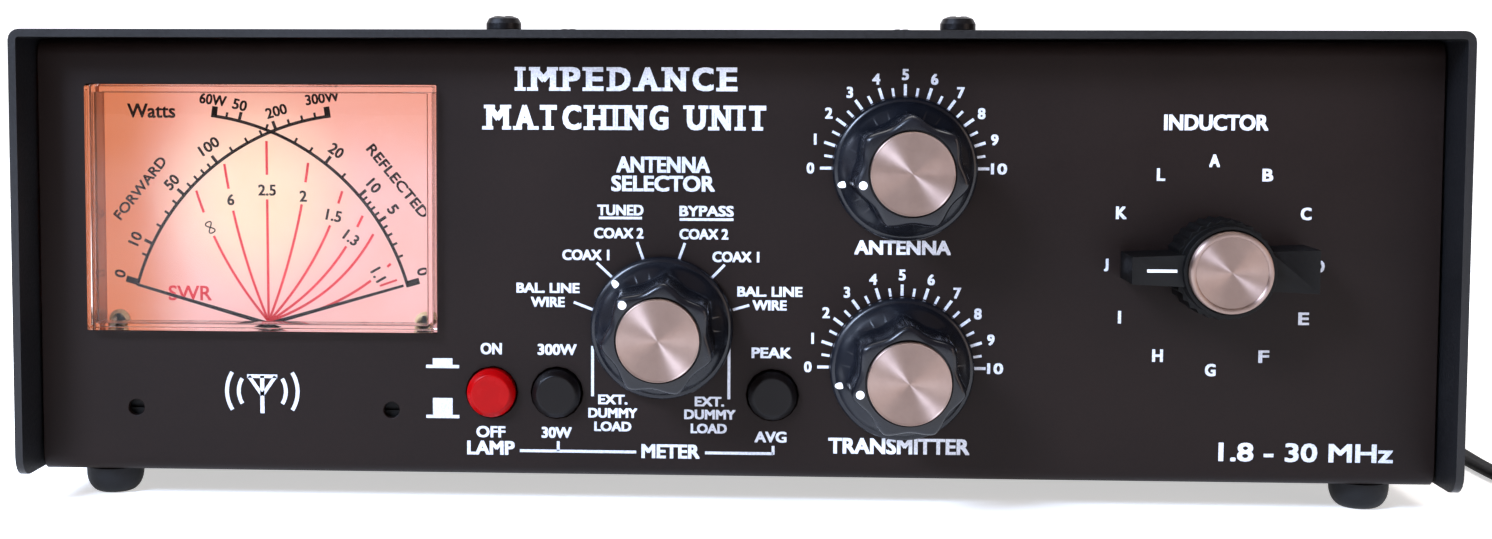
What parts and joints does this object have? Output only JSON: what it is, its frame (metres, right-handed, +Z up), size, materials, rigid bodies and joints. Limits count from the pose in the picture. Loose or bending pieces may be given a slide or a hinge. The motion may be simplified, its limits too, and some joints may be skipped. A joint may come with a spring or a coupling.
{
  "type": "antenna tuner",
  "caption": "Desktop antenna tuner with lit cross-needle meter, two capacitor knobs, coil switch, antenna selector, push buttons, rear sockets and posts, and a lamp lead.",
  "frame": {"origin": "middle of the tuner's footprint (cord, plug, cord coil and adapter left out), on the surface that the feet stand on", "axes": "+X to the right seen from the front, along the case width; the front panel faces -Y; +Z up"},
  "size_m": [0.3871, 0.2806, 0.0939],
  "materials": {
    "cover_paint": "fine wrinkle, near black",
    "panel_paint": "fine matt, near black, printed off-white",
    "black_screw": "black oxide",
    "foot_rubber": "matt",
    "clear_plastic": "clear, polished",
    "gloss_black": "moulded, glossy",
    "matt_black": "moulded, matt",
    "red_lens": "moulded, glossy",
    "spun_aluminium": "spun, anodised champagne",
    "aluminium": "plain",
    "dial_card": "printed, lit from behind",
    "brass": "satin",
    "zinc_steel": "zinc plated",
    "ceramic": "glazed ceramic and white phenolic",
    "copper": "bare copper wire",
    "ferrite": "powder coated",
    "board": "glass-fibre board",
    "lamp_glass": "glass bulb in a holder",
    "acrylic": "clear acrylic bars",
    "nickel": "nickel plated",
    "flex_rubber": "soft PVC"
  },
  "bodies": {
    "case": {"antenna_stator": "aluminium", "balanced_post_left": "ceramic", "balanced_post_right": "ceramic", "balun_core": "ferrite", "chassis": "panel_paint", "coax_1_socket": "nickel", "coax_2_socket": "nickel", "coil_support": "acrylic", "cover": "cover_paint", "cover_screw_front_left": "black_screw", "cover_screw_front_right": "black_screw", "cover_screw_rear_left": "black_screw", "cover_screw_rear_right": "black_screw", "dial_screw_left": "brass", "dial_screw_right": "brass", "dummy_load_socket": "nickel", "foot_front_left": "foot_rubber", "foot_front_right": "foot_rubber", "foot_rear_left": "foot_rubber", "foot_rear_right": "foot_rubber", "ground_post": "nickel", "inductor_coil": "copper", "inductor_switch": "ceramic", "lamp_switch": "matt_black", "meter_board": "board", "meter_case": "gloss_black", "meter_dial": "dial_card", "meter_lamp": "lamp_glass", "meter_movement": "zinc_steel", "meter_window": "clear_plastic", "peak_switch": "matt_black", "power_adapter": "matt_black", "power_cord": "flex_rubber", "power_cord_coil": "flex_rubber", "power_jack": "matt_black", "power_plug": "matt_black", "range_switch": "matt_black", "selector_switch": "ceramic", "transmitter_socket": "nickel", "transmitter_stator": "aluminium", "wire_post": "ceramic"},
    "antenna_control": {"antenna_knob": "gloss_black", "antenna_insert": "spun_aluminium", "antenna_rotor": "aluminium"},
    "transmitter_control": {"transmitter_knob": "gloss_black", "transmitter_insert": "spun_aluminium", "transmitter_rotor": "aluminium"},
    "selector_control": {"selector_knob": "gloss_black", "selector_insert": "spun_aluminium", "selector_shaft": "aluminium"},
    "inductor_control": {"inductor_knob": "matt_black", "inductor_insert": "spun_aluminium", "inductor_shaft": "aluminium"},
    "lamp_push": {"lamp_button": "red_lens"},
    "range_push": {"range_button": "gloss_black"},
    "peak_push": {"peak_button": "gloss_black"},
    "forward_pointer": {"forward_needle": "matt_black"},
    "reflected_pointer": {"reflected_needle": "matt_black"},
    "forward_adjuster": {"forward_trimmer": "ceramic"},
    "reflected_adjuster": {"reflected_trimmer": "ceramic"}
  },
  "joints": [
    {"name": "antenna_turn", "type": "hinge", "parent": "case", "child": "antenna_control", "pos_m": [0.0332, -0.07785, 0.0651], "axis": [0, 1, 0], "range_deg": [0, 180]},
    {"name": "transmitter_turn", "type": "hinge", "parent": "case", "child": "transmitter_control", "pos_m": [0.033, -0.07785, 0.0272], "axis": [0, 1, 0], "range_deg": [0, 180]},
    {"name": "selector_turn", "type": "hinge", "parent": "case", "child": "selector_control", "pos_m": [-0.0125, -0.07785, 0.0346], "axis": [0, 1, 0], "range_deg": [-60, 150]},
    {"name": "inductor_turn", "type": "hinge", "parent": "case", "child": "inductor_control", "pos_m": [0.09095, -0.07785, 0.0473], "axis": [0, 1, 0], "range_deg": [-270, 60]},
    {"name": "lamp_press", "type": "slide", "parent": "case", "child": "lamp_push", "axis": [0, 1, 0], "range_m": [-0.003, 0]},
    {"name": "range_press", "type": "slide", "parent": "case", "child": "range_push", "axis": [0, 1, 0], "range_m": [-0.003, 0]},
    {"name": "peak_press", "type": "slide", "parent": "case", "child": "peak_push", "axis": [0, 1, 0], "range_m": [-0.003, 0]},
    {"name": "forward_reading", "type": "hinge", "parent": "case", "child": "forward_pointer", "pos_m": [-0.072, -0.07785, 0.0286], "axis": [0, 1, 0], "range_deg": [0, 67], "stiffness_Nm_per_rad": 0.0001, "springref_deg": -11.46},
    {"name": "reflected_reading", "type": "hinge", "parent": "case", "child": "reflected_pointer", "pos_m": [-0.1072, -0.07785, 0.0286], "axis": [0, 1, 0], "range_deg": [-67, 0], "stiffness_Nm_per_rad": 0.0001, "springref_deg": 11.46},
    {"name": "forward_trim", "type": "hinge", "parent": "case", "child": "forward_adjuster", "pos_m": [-0.11455, -0.07785, 0.018], "axis": [0, 1, 0], "range_deg": [-130, 130]},
    {"name": "reflected_trim", "type": "hinge", "parent": "case", "child": "reflected_adjuster", "pos_m": [-0.06465, -0.07785, 0.018], "axis": [0, 1, 0], "range_deg": [-130, 130]}
  ]
}
